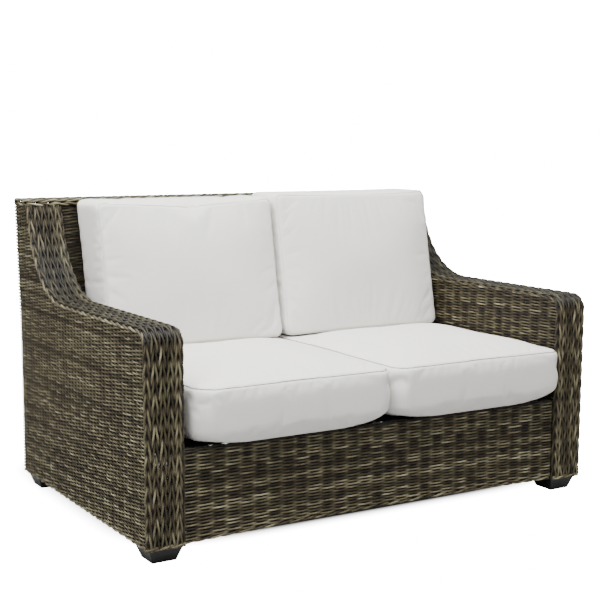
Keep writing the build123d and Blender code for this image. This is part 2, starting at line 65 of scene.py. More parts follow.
# Side outline of an arm and its wing, and the apron's arched foot
ARM_TOP_Z = 0.611
ARM_CORNER_RADIUS = 0.046
SWOOP_RADIUS = 0.255
WING_LEAN = radians(17)
REAR_RAKE = 0.025
KNEE_Z = 0.520
BACK_LEAN = radians(11)
APRON_ROUND = 0.008
APRON_ARCH = 0.009

# How far the weave stands proud of the solids, how far a hidden end runs on,
# and the radius of the shell's rear corners and of a band's edges
PROUD = 0.001
TUCK = 0.003
SHELL_TURN = 0.006
BAND_TURN = 0.005


@dataclass
class Kind:
    """
    A weave: its strands, how they go over and under, and the stakes between them.

    A bay is the way from stake to stake, or a rope's turn, and the steps are the
    points in it. A strand bulges out more than in by its lean, and its colour
    goes from painted shade to full between the two heights of its shade, so that
    it is darkened as if shaded where it lies deep.
    """
    radius: float
    bulge: float
    lean: float
    pitch: float
    bay: float
    steps: int
    sides: int
    stake_radius: float
    shade: tuple

    def __post_init__(self):
        self.depth = self.radius + self.bulge * (1 + self.lean) - PROUD


PLAIN = Kind(
    radius=0.00218, bulge=0.0026, lean=0.0, pitch=0.0046, bay=0.0416, steps=4, sides=6,
    stake_radius=0.0013, shade=(0.12, 0.55),
)
TWILL = Kind(
    radius=0.00150, bulge=0.0028, lean=0.25, pitch=0.00325, bay=0.0228, steps=2, sides=5,
    stake_radius=0.0012, shade=(0.18, 0.34),
)
ROPED = Kind(
    radius=0.00305, bulge=0.0026, lean=0.0, pitch=0.0103, bay=0.0400, steps=6, sides=6,
    stake_radius=0.0013, shade=(0.06, 0.42),
)
ROPE_SWAY = 0.0026
WANDER = 0.0005
WANDER_SCALE = 38.0
STAKE_SIDES = 4
STAKE_LEAN = -0.45
STAKE_OVER = -0.15
TONE_SEED = 7

# The inner arms' wider bays, the apron's closer rows, the paired stakes of the
# plain weave, and how far a band laps over its sides
INNER_BAY_SHARE = 1.034
APRON_PITCH_SHARE = 0.98
TWIN_GAPS = (-0.0016, 0.0016)
APRON_STAKE_POINTS = 40
BAND_LAP = 0.0098


# Sloping lines of the side view: each gives Y at a height

def wing_y(z):
    return CAP_LOW.y - (CAP_Z - z) * tan(WING_LEAN)


def rear_y(z):
    return REAR_Y - (CAP_HIGH.z - np.maximum(z, KNEE_Z)) / (CAP_HIGH.z - KNEE_Z) * REAR_RAKE


def inner_back_y(z):
    return BACK_LOW.y + (z - BACK_LOW.z) * tan(BACK_LEAN)


# Paths in a plane

def spun(points, angle):
    """Flat points turned round the origin."""
    return points @ np.array(((cos(angle), sin(angle)), (-sin(angle), cos(angle))))


def rounded_path(corners, radii, step=0.001):
    """Points along a line whose inner corners are rounded, each by its radius."""
    corners = [np.array(corner, float) for corner in corners]
    points = [corners[0]]
    for before, corner, after, radius in zip(corners, corners[1:], corners[2:], radii):
        come = (corner - before) / np.linalg.norm(corner - before)
        leave = (after - corner) / np.linalg.norm(after - corner)
        turn = np.arctan2(come[0] * leave[1] - come[1] * leave[0], come @ leave)
        side = np.array((-come[1], come[0])) * np.sign(turn)
        centre = corner - come * radius * tan(abs(turn) / 2) + side * radius
        count = max(int(radius * abs(turn) / step), 2)
        points += [centre + spun(-side * radius, turn * index / count) for index in range(count + 1)]
    points.append(corners[-1])
    return np.array(points)


def columns(*parts):
    """Points from their coordinates, of which some may be the same for all."""
    return np.column_stack(np.broadcast_arrays(*parts))


def lengths_along(points):
    """Distance of each point from the first, measured along the line."""
    return np.concatenate(([0], np.cumsum(np.linalg.norm(np.diff(points, axis=0), axis=1))))


def sample_path(points, places):
    """Places on a line, and the unit normals to its left there."""
    reach = lengths_along(points)
    nudge = reach[-1] / 4000

    def at(lengths):
        return np.stack([np.interp(lengths, reach, points[:, axis]) for axis in range(2)], 1)
    ahead = at(np.minimum(places + nudge, reach[-1])) - at(np.maximum(places - nudge, 0))
    ahead /= np.linalg.norm(ahead, axis=1)[:, None]
    return at(places), np.stack((-ahead[:, 1], ahead[:, 0]), 1)


def even_places(length, pitch):
    """Centres of equal bays that fill a length, each near to a pitch."""
    count = max(round(length / pitch), 1)
    return (np.arange(count) + 0.5) * length / count


def steps_between(start, end, step):
    """Values from start to end, at every multiple of a step that lies well between."""
    inner = np.arange(np.ceil(start / step + 0.3), np.floor(end / step - 0.3) + 1) * step
    return np.concatenate(([start], inner, [end]))


def contour(inset):
    """Front, top and wing of an arm as Y and Z, drawn in by an inset."""
    arm = ARM_TOP_Z - inset
    spread = inset / cos(WING_LEAN)
    corners = (
        (FRONT_Y + inset, FOOT_Z),
        (FRONT_Y + inset, arm),
        (wing_y(arm) + spread, arm),
        (wing_y(CAP_Z) + spread, CAP_Z),
    )
    return rounded_path(corners, (ARM_CORNER_RADIUS - inset, SWOOP_RADIUS + inset))


ROW_EDGE = contour(ROPED.pitch)


def row_start(z):
    """Where the rows on an arm's side begin at a height, behind the edge rope."""
    front = ROW_EDGE[:, 0] < FRONT_Y + ARM_CORNER_RADIUS
    part = ROW_EDGE[~front if z >= ARM_TOP_Z - ROPED.pitch else front]
    return float(np.interp(z, part[:, 1], part[:, 0]))


def row_top(y):
    """How high the rows on an arm's side reach at a depth."""
    return float(np.interp(y, ROW_EDGE[:, 0], ROW_EDGE[:, 1]))


def apron_foot(x):
    """Height of the apron's arched foot."""
    return FOOT_Z + APRON_ARCH * (1 - (x / INNER_X) ** 2)


# Strands

class Strand:
    """Points of a line, the way each faces, where it crosses the stakes, and how it sways."""
    def __init__(self, points, facing, over, aside=None, closed=False):
        self.points = np.array(points, float)
        self.facing = np.broadcast_to(np.array(facing, float), self.points.shape)
        self.over = np.broadcast_to(np.array(over, float), len(self.points))
        self.aside = np.zeros_like(self.points) if aside is None else aside
        self.closed = closed


def rope(points, facing, marks, hand, closed=False):
    """Two strands that twist round each other along a line."""
    points = np.array(points, float)
    facing = np.broadcast_to(np.array(facing, float), points.shape)
    if closed:
        ahead = np.roll(points, -1, axis=0) - np.roll(points, 1, axis=0)
    else:
        ahead = np.gradient(points, axis=0)
    aside = np.cross(ahead, facing)
    aside *= hand / np.linalg.norm(aside, axis=1)[:, None]
    return [Strand(points, facing, marks / ROPED.bay + half, aside, closed) for half in (0, 1)]


def stake(points):
    """Straight or bent stake, which the rows mostly hide."""
    return Strand(points, (0, 0, 1), STAKE_OVER)


def strand_lines(name, strands, painted_shade_shift=0.0):
    """Mesh of bare lines, one for each strand, with what the weave reads from them."""
    draw = np.random.default_rng(TONE_SEED)
    # A negative shift lowers a whole piece's tone: painted shade
    tone = np.concatenate([np.full(len(strand.points), draw.random() + painted_shade_shift) for strand in strands])
    edges = []
    start = 0
    for strand in strands:
        count = len(strand.points)
        links = count if strand.closed else count - 1
        edges += [(start + index, start + (index + 1) % count) for index in range(links)]
        start += count
    mesh = bpy.data.meshes.new(name)
    mesh.from_pydata(np.concatenate([strand.points for strand in strands]).tolist(), edges, [])
    for label in ("facing", "aside"):
        values = np.concatenate([getattr(strand, label) for strand in strands]).ravel()
        mesh.attributes.new(label, "FLOAT_VECTOR", "POINT").data.foreach_set("vector", values)
    over = np.concatenate([strand.over for strand in strands])
    for label, values in (("over", over), ("tone", tone)):
        mesh.attributes.new(label, "FLOAT", "POINT").data.foreach_set("value", values)
    return mesh


# Node trees

def add_sockets(tree, in_out, **kinds):
    """Sockets of a group: each keyword is a kind of socket, with its labels."""
    for kind, labels in kinds.items():
        for label in labels:
            tree.interface.new_socket(label, in_out=in_out, socket_type="NodeSocket" + kind)


def new_tree(name, **inputs):
    """Geometry tree with named inputs and a mesh on each end."""
    tree = bpy.data.node_groups.new(name, "GeometryNodeTree")
    tree.is_modifier = True
    add_sockets(tree, "OUTPUT", Geometry=["Geometry"])
    add_sockets(tree, "INPUT", Geometry=["Geometry"], **inputs)
    return tree


def feed(tree, node, inputs):
    """Set a node's inputs, from values or from other nodes' sockets."""
    for key, value in inputs.items():
        if isinstance(value, bpy.types.NodeSocket):
            tree.links.new(value, node.inputs[key])
        else:
            node.inputs[key].default_value = value


def add(tree, kind, inputs=None, **settings):
    """New node with its settings and inputs."""
    node = tree.nodes.new(kind)
    for key, value in settings.items():
        setattr(node, key, value)
    feed(tree, node, inputs or {})
    return node


def made(*node, **settings):
    """First output of a new node."""
    return add(*node, **settings).outputs[0]


def maths(tree, operation, *values):
    return made(tree, "ShaderNodeMath", dict(enumerate(values)), operation=operation)


def vectors(tree, operation, first, second):
    """Vector maths with a second vector, or for SCALE with a number."""
    key = "Scale" if operation == "SCALE" else 1
    return made(tree, "ShaderNodeVectorMath", {0: first, key: second}, operation=operation)


def read_point(tree, name, kind):
    return add(tree, "GeometryNodeInputNamedAttribute", {"Name": name}, data_type=kind).outputs["Attribute"]


def keep_point(tree, geometry, name, value):
    return add(
        tree, "GeometryNodeStoreNamedAttribute", {"Geometry": geometry, "Name": name, "Value": value},
        data_type="FLOAT", domain="POINT",
    ).outputs["Geometry"]


def strand_tree():
    """Lines become round strands that bulge over and under, with a little wander."""
    tree = new_tree(
        "Woven strands", Int=["Sides"], Material=["Material"],
        Float=["Radius", "Bulge", "Lean", "Sway", "Wander", "Shaded below", "Lit above"],
    )
    given = add(tree, "NodeGroupInput").outputs
    turn = maths(tree, "MULTIPLY", read_point(tree, "over", "FLOAT"), pi)
    leaning = maths(tree, "ADD", maths(tree, "SINE", turn), given["Lean"])
    out = maths(tree, "MULTIPLY", leaning, given["Bulge"])
    lift = vectors(tree, "SCALE", read_point(tree, "facing", "FLOAT_VECTOR"), out)
    swing = maths(tree, "MULTIPLY", maths(tree, "COSINE", turn), given["Sway"])
    sway = vectors(tree, "SCALE", read_point(tree, "aside", "FLOAT_VECTOR"), swing)
    cloud = add(tree, "ShaderNodeTexNoise", {"Scale": WANDER_SCALE, "Detail": 1.0}).outputs["Color"]
    wander = vectors(tree, "SCALE", vectors(tree, "ADD", cloud, (-0.5, -0.5, -0.5)), given["Wander"])
    offset = vectors(tree, "ADD", vectors(tree, "ADD", lift, sway), wander)
    # Share of painted shade from how deep a strand lies: darkest where it dips under a stake
    recess_shade_mix = add(tree, "ShaderNodeMapRange", {
        "Value": maths(tree, "MULTIPLY_ADD", leaning, 0.5, 0.5),
        "From Min": given["Shaded below"], "From Max": given["Lit above"],
    }).outputs["Result"]
    marked = keep_point(tree, given["Geometry"], "recess_shade_mix", recess_shade_mix)
    moved = made(tree, "GeometryNodeSetPosition", {"Geometry": marked, "Offset": offset})
    curve = made(tree, "GeometryNodeMeshToCurve", {"Mesh": moved})
    along = add(tree, "GeometryNodeSplineParameter").outputs
    curve = keep_point(tree, curve, "along", along["Length"])
    section = {"Resolution": given["Sides"], "Radius": given["Radius"]}
    ring = made(tree, "GeometryNodeCurvePrimitiveCircle", section)
    ring = keep_point(tree, ring, "round", along["Factor"])
    tube = add(tree, "GeometryNodeCurveToMesh", {"Curve": curve, "Profile Curve": ring, "Fill Caps": True})
    whole = made(tree, "GeometryNodeRealizeInstances", {"Geometry": tube.outputs[0]})
    smooth = made(tree, "GeometryNodeSetShadeSmooth", {"Geometry": whole})
    done = add(tree, "GeometryNodeSetMaterial", {"Geometry": smooth, "Material": given["Material"]})
    add(tree, "NodeGroupOutput", {"Geometry": done.outputs[0]})
    return tree


# Objects

def placed(name, data):
    """Object that holds a mesh, light or camera, in the scene."""
    piece = bpy.data.objects.new(name, data)
    bpy.context.scene.collection.objects.link(piece)
    return piece


def settled(name, source):
    """Plain mesh object that holds what a source object's modifiers make."""
    source.update_tag()
    depsgraph = bpy.context.evaluated_depsgraph_get()
    mesh = bpy.data.meshes.new_from_object(source.evaluated_get(depsgraph))
    mesh.name = name
    bpy.data.objects.remove(source)
    return placed(name, mesh)


def grown(name, lines, tree, values):
    """Plain mesh object that a tree makes from lines."""
    seed = placed(name + ".lines", lines)
    modifier = seed.modifiers.new("grow", "NODES")
    modifier.node_group = tree
    for socket in tree.interface.items_tree:
        if socket.in_out == "INPUT" and socket.name in values:
            modifier[socket.identifier] = values[socket.name]
    return settled(name, seed)


def joined(name, pieces):
    """One object from several, with their places kept."""
    with bpy.context.temp_override(active_object=pieces[0], selected_editable_objects=pieces):
        bpy.ops.object.join()
    pieces[0].name = name
    pieces[0].data.name = name
    return pieces[0]


# Smooth finishes

BROAD_SCALE = 9.0
SHEEN_SPREAD = 0.08
BUMP_DISTANCE = 0.0002


def ranged(tree, value, low, high, start=0.0, end=1.0):
    inputs = {"Value": value, "From Min": start, "From Max": end, "To Min": low, "To Max": high}
    return add(tree, "ShaderNodeMapRange", inputs).outputs["Result"]


def mixed(tree, share, first, second, blend_type="MIX"):
    inputs = {"Fac": share, "Color1": first, "Color2": second}
    return made(tree, "ShaderNodeMixRGB", inputs, blend_type=blend_type)


def noise(tree, place, scale, detail=2.0):
    inputs = {"Vector": place, "Scale": scale, "Detail": detail}
    return add(tree, "ShaderNodeTexNoise", inputs).outputs["Fac"]


def object_place(tree):
    return add(tree, "ShaderNodeTexCoord").outputs["Object"]


def mottle_group():
    """Soft uneven colour, sheen and surface, which every smooth finish shares."""
    group = bpy.data.node_groups.new("Fine mottle", "ShaderNodeTree")
    add_sockets(group, "INPUT", Color=["Dark", "Light"], Float=["Scale", "Smooth", "Rough", "Depth"])
    add_sockets(group, "OUTPUT", Color=["Color"], Float=["Roughness", "Height"])
    given = add(group, "NodeGroupInput").outputs
    place = object_place(group)
    fine = noise(group, place, given["Scale"], 3.0)
    broad = noise(group, place, BROAD_SCALE)
    share = maths(group, "MULTIPLY_ADD", fine, 0.5, maths(group, "MULTIPLY", broad, 0.5))
    add(group, "NodeGroupOutput", {
        "Color": mixed(group, share, given["Dark"], given["Light"]),
        "Roughness": ranged(group, fine, given["Smooth"], given["Rough"]),
        "Height": maths(group, "MULTIPLY", fine, given["Depth"]),
    })
    return group


MOTTLE = mottle_group()


def smooth_finish(name, colour, roughness, metallic=0.0, scale=400.0, contrast=0.2, depth=0.2):
    """Material whose colour and sheen vary a little."""
    material = bpy.data.materials.new(name)
    material.use_nodes = True
    tree = material.node_tree
    dark, light = ((*(part * share for part in colour), 1) for share in (1 - contrast, 1 + contrast))
    mottle = add(tree, "ShaderNodeGroup", {
        "Dark": dark, "Light": light, "Scale": scale, "Depth": depth,
        "Smooth": roughness - SHEEN_SPREAD, "Rough": roughness + SHEEN_SPREAD,
    }, name="mottle", node_tree=MOTTLE).outputs
    bump = add(tree, "ShaderNodeBump", {
        "Height": mottle["Height"], "Strength": 1.0, "Distance": BUMP_DISTANCE
    }, name="bump")
    feed(tree, tree.nodes["Principled BSDF"], {
        "Metallic": metallic, "Base Color": mottle["Color"], "Roughness": mottle["Roughness"],
        "Normal": bump.outputs[0],
    })
    return material


# Canvas: its threads' pitch, their height beside the mottle's, and the shade between them
THREAD_PITCH = 0.0011
THREAD_TURN = pi / THREAD_PITCH
THREAD_HEIGHT = 0.35
THREAD_SHADE = 0.93


def canvas():
    """Off-white outdoor canvas with a fine plain weave and slightly uneven threads."""
    material = smooth_finish(
        "off-white canvas", (0.75, 0.735, 0.695), 0.86, scale=180.0, contrast=0.035, depth=0.25
    )
    tree = material.node_tree
    mottle = tree.nodes["mottle"].outputs
    place = add(tree, "ShaderNodeSeparateXYZ", {0: object_place(tree)}).outputs
    across = maths(tree, "MULTIPLY_ADD", place["Z"], 0.5, place["X"])
    along = maths(tree, "ADD", place["Y"], place["Z"])
    warp, weft = (maths(tree, "SINE", maths(tree, "MULTIPLY", way, THREAD_TURN)) for way in (across, along))
    cloth = maths(tree, "MULTIPLY", warp, weft)
    height = maths(tree, "MULTIPLY_ADD", cloth, THREAD_HEIGHT, mottle["Height"])
    threads = ranged(tree, cloth, THREAD_SHADE, 1.0, -1.0, 1.0)
    grey = dict.fromkeys(("Red", "Green", "Blue"), threads)
    shade = made(tree, "ShaderNodeCombineColor", grey)
    feed(tree, tree.nodes["bump"], {"Height": height})
    feed(tree, tree.nodes["Principled BSDF"], {
        "Sheen Weight": 0.12, "Sheen Roughness": 0.5, "Specular IOR Level": 0.2,
        "Base Color": mixed(tree, 1.0, mottle["Color"], shade, "MULTIPLY"),
    })
    return material


# Resin: its shades, the painted shade deep in the weave, the patches that tint them,
# the painted shade on what faces up, and the scales of the patterns along and across a strand
RESIN_SHADES = (
    (0.28, (0.016, 0.011, 0.006)),
    (0.40, (0.044, 0.035, 0.018)),
    (0.50, (0.080, 0.070, 0.039)),
    (0.60, (0.155, 0.138, 0.085)),
    (0.76, (0.360, 0.332, 0.235)),
)
RESIN_RECESS_SHADE = (0.004, 0.003, 0.002, 1)
PATCH_DARK = (0.74, 0.69, 0.64, 1)
PATCH_LIGHT = (1.20, 1.22, 1.14, 1)
PATCH_RANGE = (0.38, 0.62)
LANE_SCALE = (44.0, 44.0, 3.0)
LANE_SHARE = 0.45
STREAK_SCALE = (17.0, 61.0, 1.0)
STREAK_SHARE = 0.7
TOP_PAINTED_SHADE = (0.26, 0.265, 0.24, 1)
TOP_PAINTED_SHADE_SHARE = 0.6
FIBRE_SCALE = (60.0, 22.0, 50.0)
RESIN_ROUGHNESS = (0.42, 0.72)


def attribute(tree, name, output="Fac"):
    return add(tree, "ShaderNodeAttribute", attribute_name=name).outputs[output]


def stretched(tree, parts, scales):
    """Pattern coordinates from three values, each with its own scale."""
    place = made(tree, "ShaderNodeCombineXYZ", dict(zip("XYZ", parts)))
    return vectors(tree, "MULTIPLY", place, scales)


def resin():
    """Weathered grey-brown strand with long fine streaks, darkened by painted shade where it lies deep and
    where it faces up.
    """
    material = bpy.data.materials.new("weathered resin strand")
    material.use_nodes = True
    tree = material.node_tree
    place = object_place(tree)
    tone = attribute(tree, "tone")
    along = attribute(tree, "along")
    streaks = noise(tree, stretched(tree, (along, tone, 0.0), STREAK_SCALE), 1.0)
    shade = maths(tree, "MULTIPLY", tone, 1 - STREAK_SHARE)
    shade = maths(tree, "MULTIPLY_ADD", streaks, STREAK_SHARE, shade)
    ramp = add(tree, "ShaderNodeValToRGB", {"Fac": shade})
    elements = ramp.color_ramp.elements
    while len(elements) < len(RESIN_SHADES):
        elements.new(0.5)
    for element, (position, colour) in zip(elements, RESIN_SHADES):
        element.position = position
        element.color = (*colour, 1)
    lanes = noise(tree, vectors(tree, "MULTIPLY", place, LANE_SCALE), 1.0)
    lanes = maths(tree, "MULTIPLY", lanes, LANE_SHARE)
    patch = maths(tree, "MULTIPLY_ADD", noise(tree, place, BROAD_SCALE), 1 - LANE_SHARE, lanes)
    tint = mixed(tree, ranged(tree, patch, 0.0, 1.0, *PATCH_RANGE), PATCH_DARK, PATCH_LIGHT)
    colour = mixed(tree, 1.0, ramp.outputs["Color"], tint, "MULTIPLY")
    # Painted shade: strands that face up are darkened, against the strong light from above
    facing = add(tree, "ShaderNodeSeparateXYZ", {0: attribute(tree, "facing", "Vector")}).outputs
    top_shade = ranged(tree, facing["Z"], 0.0, 1.0, 0.0, TOP_PAINTED_SHADE_SHARE)
    colour = mixed(tree, top_shade, colour, mixed(tree, 1.0, colour, TOP_PAINTED_SHADE, "MULTIPLY"))
    fibres = stretched(tree, (along, attribute(tree, "round"), tone), FIBRE_SCALE)
    grain = noise(tree, fibres, 1.0, 3.0)
    bump = add(tree, "ShaderNodeBump", {"Height": grain, "Strength": 0.6, "Distance": BUMP_DISTANCE * 2})
    # Painted shade: where a strand lies deep its colour goes to near black
    feed(tree, tree.nodes["Principled BSDF"], {
        "IOR": 1.45, "Specular IOR Level": 0.35, "Roughness": ranged(tree, grain, *RESIN_ROUGHNESS),
        "Base Color": mixed(tree, attribute(tree, "recess_shade_mix"), RESIN_RECESS_SHADE, colour),
        "Normal": bump.outputs[0],
    })
    return material


RESIN = resin()
FINISHES = {
    "frame_coat": smooth_finish("dark powder coat", (0.030, 0.025, 0.020), 0.5),
    "deck_strap": smooth_finish("black webbing", (0.006, 0.006, 0.006), 0.8, scale=900.0, depth=0.6),
    "foot_black": smooth_finish("satin black foot", (0.006, 0.0055, 0.005), 0.40),
    "bright_steel": smooth_finish("dull zinc plated steel", (0.16, 0.16, 0.165), 0.55, metallic=0.6),
    "zip_tape": smooth_finish("zip tape", (0.68, 0.67, 0.63), 0.75, scale=1200.0, depth=0.6),
    "cushion_canvas": canvas(),
    "cushion_foam": smooth_finish("foam", (0.80, 0.76, 0.55), 0.9, scale=700.0),
    "woven_resin": RESIN,
}
# Near-black finish of the plates behind the weave: painted shade
SHADED = smooth_finish("painted shade plates", (0.016, 0.013, 0.009), 0.8, scale=300.0)
# The seat's seam thread is dark to paint the shade of its crease; the back's thread keeps the canvas's pale
# colour
SEAT_SHADED_THREAD = smooth_finish("seam thread dark with painted crease shade", (0.085, 0.08, 0.07), 0.8, scale=900.0, depth=0.4)
BACK_THREAD = smooth_finish("pale seam thread", (0.58, 0.57, 0.54), 0.8, scale=900.0, depth=0.4)

for part in frame["record"]["subparts"]:
    mesh = frame["nodes"][part["node"]].data
    mesh.materials.clear()
    mesh.materials.append(FINISHES[part["material_slot"]])


# Woven pieces

STRANDS = strand_tree()
SIDE_LENGTH = rear_y(FOOT_Z) - FRONT_Y - TWILL.depth
SIDE_BAY = SIDE_LENGTH / round(SIDE_LENGTH / TWILL.bay)
SHELL_X = OUTER_X - TWILL.depth
REAR_BAYS = round(SHELL_X * 2 / TWILL.bay)
REAR_BAY = SHELL_X * 2 / REAR_BAYS
SHELL_LOW = FOOT_Z + ROPED.pitch
SHELL_ROWS = SHELL_LOW + even_places(CAP_Z - SHELL_LOW, TWILL.pitch)
MIDDLE_Z = (SHELL_LOW + CAP_Z) / 2


def woven(name, kind, strands, stakes, painted_shade_shift):
    """Woven piece: strands that go over and under the stakes that they cross."""
    values = {
        "Radius": kind.radius, "Bulge": kind.bulge, "Lean": kind.lean, "Sway": ROPE_SWAY,
        "Wander": WANDER, "Sides": kind.sides, "Material": RESIN,
        "Shaded below": kind.shade[0], "Lit above": kind.shade[1],
    }
    cloth = grown(name, strand_lines(name, strands, painted_shade_shift), STRANDS, values)
    if not stakes:
        return cloth
    values.update({
        "Radius": kind.stake_radius, "Bulge": 0.0, "Lean": STAKE_LEAN, "Sway": 0.0, "Sides": STAKE_SIDES
    })
    return joined(name, [cloth, grown(name + ".stakes", strand_lines(name, stakes), STRANDS, values)])


def over_two(marks, row):
    """Where a row that goes over two stakes and under one stands at the stakes' marks."""
    return (marks - row) * 2 / 3 - 0.5


def over_one(marks, row):
    """Where a row that goes over one stake and under the next stands at the marks."""
    return marks + row % 2


def outer_side(side):
    """Rows from the arm's front or wing, back along the side and round the rear corner."""
    x = side * SHELL_X
    strands = []
    for row, z in enumerate(SHELL_ROWS):
        corner = rear_y(z) - TWILL.depth
        reach = corner - row_start(z) + TUCK
        back = steps_between(SHELL_TURN, reach, SIDE_BAY / TWILL.steps)[::-1]
        marks = np.concatenate((back / SIDE_BAY, (0, -SHELL_TURN / REAR_BAY)))
        if side > 0:
            marks = -REAR_BAYS - marks
        points = [*columns(x, corner - back, z)]
        facing = [(side, 0, 0)] * len(back)
        centre = np.array((x - side * SHELL_TURN, corner - SHELL_TURN, z))
        for angle in (pi / 4, pi / 2):
            spoke = np.array((side * cos(angle), sin(angle), 0))
            points.append(centre + spoke * SHELL_TURN)
            facing.append(spoke)
        strands.append(Strand(points, facing, over_two(marks, row)))
    stakes = []
    for index in range(1, int(SIDE_LENGTH / SIDE_BAY) + 1):
        foot = rear_y(FOOT_Z) - TWILL.depth - index * SIDE_BAY
        high = min(row_top(foot), CAP_Z)
        lean = rear_y(high) - rear_y(FOOT_Z) if high == CAP_Z else 0
        stakes.append(stake([(x, foot, FOOT_Z), (x, foot, min(KNEE_Z, high)), (x, foot + lean, high)]))
    return strands, stakes


def back_face(levels, bends, x, marks, y_at, facing, posts):
    """Twill rows across the back, between the first and last bend of the stakes that they cross."""
    strands = [
        Strand(columns(x, y_at(z), z), facing, over_two(marks, row))
        for row, z in enumerate(levels) if bends[0] <= z < bends[-1]
    ]
    return strands, [stake([(post, y_at(z), z) for z in bends]) for post in posts]


def rear(low, high):
    """Rows across the back's rear face between the two rounded corners."""
    across = steps_between(SHELL_TURN, SHELL_X * 2 - SHELL_TURN, REAR_BAY / TWILL.steps)
    bends = [low] + [KNEE_Z] * (low < KNEE_Z < high) + [high]
    return back_face(
        SHELL_ROWS, bends, across - SHELL_X, -across / REAR_BAY, lambda z: rear_y(z) - TWILL.depth,
        (0, 1, 0), np.arange(1, REAR_BAYS) * REAR_BAY - SHELL_X,
    )


def inner_back(low, high):
    """Rows across the inner back, which leans."""
    bays = round(INNER_X * 2 / TWILL.bay)
    bay = INNER_X * 2 / bays
    across = steps_between(0, INNER_X * 2, bay / TWILL.steps)
    depth = TWILL.depth / cos(BACK_LEAN)
    return back_face(
        BACK_LOW.z + even_places(CAP_Z - BACK_LOW.z, TWILL.pitch), (low, high), across - INNER_X,
        across / bay, lambda z: inner_back_y(z) + depth, (0, -cos(BACK_LEAN), sin(BACK_LEAN)),
        np.arange(1, bays) * bay - INNER_X,
    )


def inner_side(side):
    """Rows on the arm's inner face, from its front or wing to the inner back."""
    x = side * (INNER_X + PLAIN.depth)
    bay = PLAIN.bay * INNER_BAY_SHARE
    strands = []
    for row, z in enumerate(INNER_LOW.z + even_places(CAP_Z - INNER_LOW.z, PLAIN.pitch)):
        start = row_start(z) - TUCK - FRONT_Y
        end = inner_back_y(z) - FRONT_Y
        if end - start > PLAIN.pitch:
            along = steps_between(start, end, bay / PLAIN.steps)
            strands.append(Strand(columns(x, FRONT_Y + along, z), (-side, 0, 0), over_one(along / bay, row)))
    stakes = []
    for y in FRONT_Y + bay * (np.arange(int((inner_back_y(CAP_Z) - FRONT_Y) / bay)) + 0.5):
        low = max(INNER_LOW.z, INNER_LOW.z + (y - inner_back_y(INNER_LOW.z)) / tan(BACK_LEAN))
        if row_top(y) > low:
            stakes += [stake([(x, y + gap, low), (x, y + gap, row_top(y))]) for gap in TWIN_GAPS]
    return strands, stakes


def apron():
    """Rows from the apron's arched foot up and over the seat's front rail."""
    bays = round(INNER_X * 2 / PLAIN.bay)
    bay = INNER_X * 2 / bays
    across = steps_between(0, INNER_X * 2, bay / PLAIN.steps)
    x = across - INNER_X
    corners = ((APRON_LOW.y, SHELL_LOW), (APRON_LOW.y, APRON_HIGH.z), (APRON_HIGH.y, APRON_HIGH.z))
    profile = rounded_path(corners, (APRON_ROUND,))
    length = lengths_along(profile)[-1]

    def sunk(places):
        spots, normals = sample_path(profile, places)
        return spots - normals * PLAIN.depth, normals
    rise = apron_foot(x) - FOOT_Z
    strands = []
    for row, (spot, normal) in enumerate(zip(*sunk(even_places(length, PLAIN.pitch * APRON_PITCH_SHARE)))):
        share = (APRON_HIGH.z - spot[1]) / (APRON_HIGH.z - SHELL_LOW)
        points = columns(x, spot[0], spot[1] + rise * share)
        strands.append(Strand(points, (0, *normal), over_one(across / bay, row)))
    spots, _ = sunk(np.linspace(0, length, APRON_STAKE_POINTS))
    posts = [(index + 0.5) * bay - INNER_X + gap for index in range(bays) for gap in TWIN_GAPS]
    return strands, [stake([(post, *spot) for spot in spots]) for post in posts]


def rope_marks(length):
    """Places along a rope of some length, as many to a turn as its steps."""
    return np.arange(0, length, ROPED.bay / ROPED.steps)


def arm_band(side):
    """Ropes up the arm's front, over its top, up the wing, and round both its edges."""
    base = contour(ROPED.depth)
    width = OUTER_X - INNER_X - ROPED.depth * 2
    section = rounded_path(((0, BAND_LAP), (0, 0), (width, 0), (width, BAND_LAP)), (BAND_TURN, BAND_TURN))
    lanes, left = sample_path(section, even_places(lengths_along(section)[-1], ROPED.pitch))
    length = lengths_along(base)[-1]
    marks = np.append(rope_marks(length), length)
    spots, outward = sample_path(base, marks)
    strands = []
    for index, ((across, depth), normal) in enumerate(zip(lanes, -left)):
        x = side * (OUTER_X - ROPED.depth - across)
        points = columns(x, *(spots - outward * depth).T)
        facing = columns(-side * normal[0], *(-outward * normal[1]).T)
        strands += rope(points, facing, marks, 1 if index % 2 else -1)
    ends = (side * (OUTER_X - ROPED.depth), side * (INNER_X + ROPED.depth))
    spots, _ = sample_path(base, np.arange(ROPED.bay / 2, length, ROPED.bay))
    return strands, [stake([(x, *spot) for x in ends]) for spot in spots]


def cap():
    """Ropes round the rim of the top, and lengthwise over it between the rims."""
    strands = []
    for level, hand in ((CAP_HIGH.z - ROPED.depth, 1), (CAP_HIGH.z - ROPED.depth - ROPED.pitch, -1)):
        x = OUTER_X - ROPED.depth
        front = wing_y(level) + ROPED.depth
        back = rear_y(level) - ROPED.depth
        corners = ((0, front), (x, front), (x, back), (-x, back), (-x, front), (0, front))
        rim = rounded_path(corners, (BAND_TURN,) * 4)
        length = lengths_along(rim)[-1]
        count = round(length / ROPED.bay / 2) * 2 * ROPED.steps
        spots, left = sample_path(rim, np.arange(count) * length / count)
        marks = np.arange(count) * ROPED.bay / ROPED.steps
        strands += rope(columns(*spots.T, level), columns(*-left.T, 0), marks, hand, closed=True)
    first = wing_y(CAP_HIGH.z) + ROPED.pitch
    last = rear_y(CAP_HIGH.z) - ROPED.pitch
    reach = OUTER_X - ROPED.pitch
    marks = rope_marks(reach * 2)
    for index, place in enumerate(even_places(last - first, ROPED.pitch)):
        points = columns(marks - reach, first + place, CAP_HIGH.z - ROPED.depth)
        strands += rope(points, (0, 0, 1), marks, 1 if index % 2 else -1)
    return strands, []


